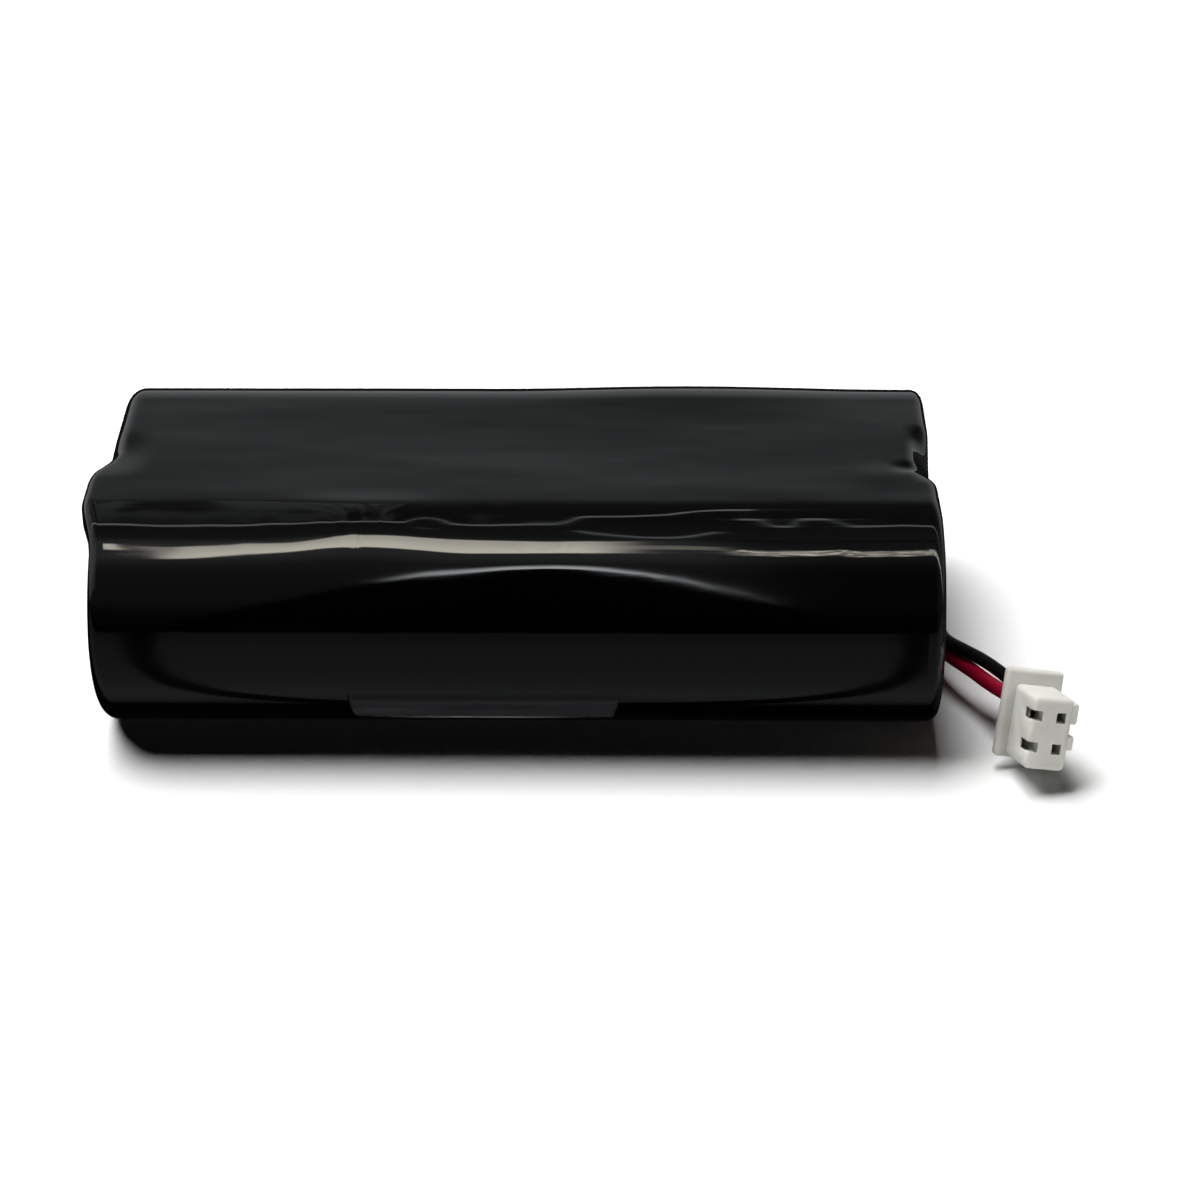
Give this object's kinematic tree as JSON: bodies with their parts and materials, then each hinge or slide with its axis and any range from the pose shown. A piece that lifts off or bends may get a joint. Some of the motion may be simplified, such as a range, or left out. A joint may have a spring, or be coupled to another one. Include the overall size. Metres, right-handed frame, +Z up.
{
  "type": "battery pack",
  "caption": "Low rounded battery pack: cylindrical cells side by side in black shrink film, with a protection board, a red and a black lead, and a white plug.",
  "frame": {"origin": "middle of the footprint of the wrapped cells, on the surface that the pack lies on", "axes": "+X along the cells towards the end where the leads leave, +Y across the cells away from the plug, +Z up"},
  "size_m": [0.0774, 0.0419, 0.0188],
  "materials": {
    "black_film": "glossy black heat-shrink film, lightly waved",
    "barley_paper": "dull grey-green insulating paper",
    "hot_glue": "waxy cream hot glue",
    "can_steel": "nickel-plated deep-drawn steel",
    "cell_sleeve": "thin green shrink sleeve",
    "seal_polymer": "blue moulded seal",
    "white_paper": "white insulating paper",
    "nickel": "satin rolled nickel",
    "vent_aluminium": "pressed aluminium",
    "thermal_polymer": "dark conductive polymer",
    "electrode_foil": "wound coated foil",
    "board_laminate": "green solder mask on glass laminate",
    "chip_black": "moulded black chip body",
    "resistor_ceramic": "black chip resistor",
    "capacitor_ceramic": "tan chip capacitor",
    "solder": "bright solder",
    "red_lead": "dark red wire insulation",
    "black_lead": "black wire insulation",
    "plug_polymer": "off-white moulded nylon"
  },
  "bodies": {
    "root": {"board_insulator": "barley_paper", "capacitor_1": "capacitor_ceramic", "capacitor_2": "capacitor_ceramic", "capacitor_3": "capacitor_ceramic", "cell_adhesive": "hot_glue", "charge_transistor": "chip_black", "discharge_transistor": "chip_black", "front_cell_bottom_insulator": "white_paper", "front_cell_burst_disc": "vent_aluminium", "front_cell_can": "can_steel", "front_cell_cap": "nickel", "front_cell_cap_washer": "white_paper", "front_cell_gasket": "seal_polymer", "front_cell_jelly_roll": "electrode_foil", "front_cell_negative_collector": "nickel", "front_cell_positive_collector": "nickel", "front_cell_sleeve": "cell_sleeve", "front_cell_thermal_ring": "thermal_polymer", "front_cell_top_insulator": "white_paper", "left_end_insulator": "barley_paper", "midpoint_tap": "nickel", "negative_contact": "nickel", "negative_lead": "black_lead", "negative_solder_joint": "solder", "negative_tab": "nickel", "outer_sleeve": "black_film", "plug_housing": "plug_polymer", "positive_contact": "nickel", "positive_lead": "red_lead", "positive_solder_joint": "solder", "positive_tab": "nickel", "protection_board": "board_laminate", "protection_chip": "chip_black", "rear_cell_bottom_insulator": "white_paper", "rear_cell_burst_disc": "vent_aluminium", "rear_cell_can": "can_steel", "rear_cell_cap": "nickel", "rear_cell_cap_washer": "white_paper", "rear_cell_gasket": "seal_polymer", "rear_cell_jelly_roll": "electrode_foil", "rear_cell_negative_collector": "nickel", "rear_cell_positive_collector": "nickel", "rear_cell_sleeve": "cell_sleeve", "rear_cell_thermal_ring": "thermal_polymer", "rear_cell_top_insulator": "white_paper", "resistor_1": "resistor_ceramic", "resistor_2": "resistor_ceramic", "resistor_3": "resistor_ceramic", "resistor_4": "resistor_ceramic", "right_end_insulator": "barley_paper", "series_link": "nickel"}
  },
  "joints": []
}
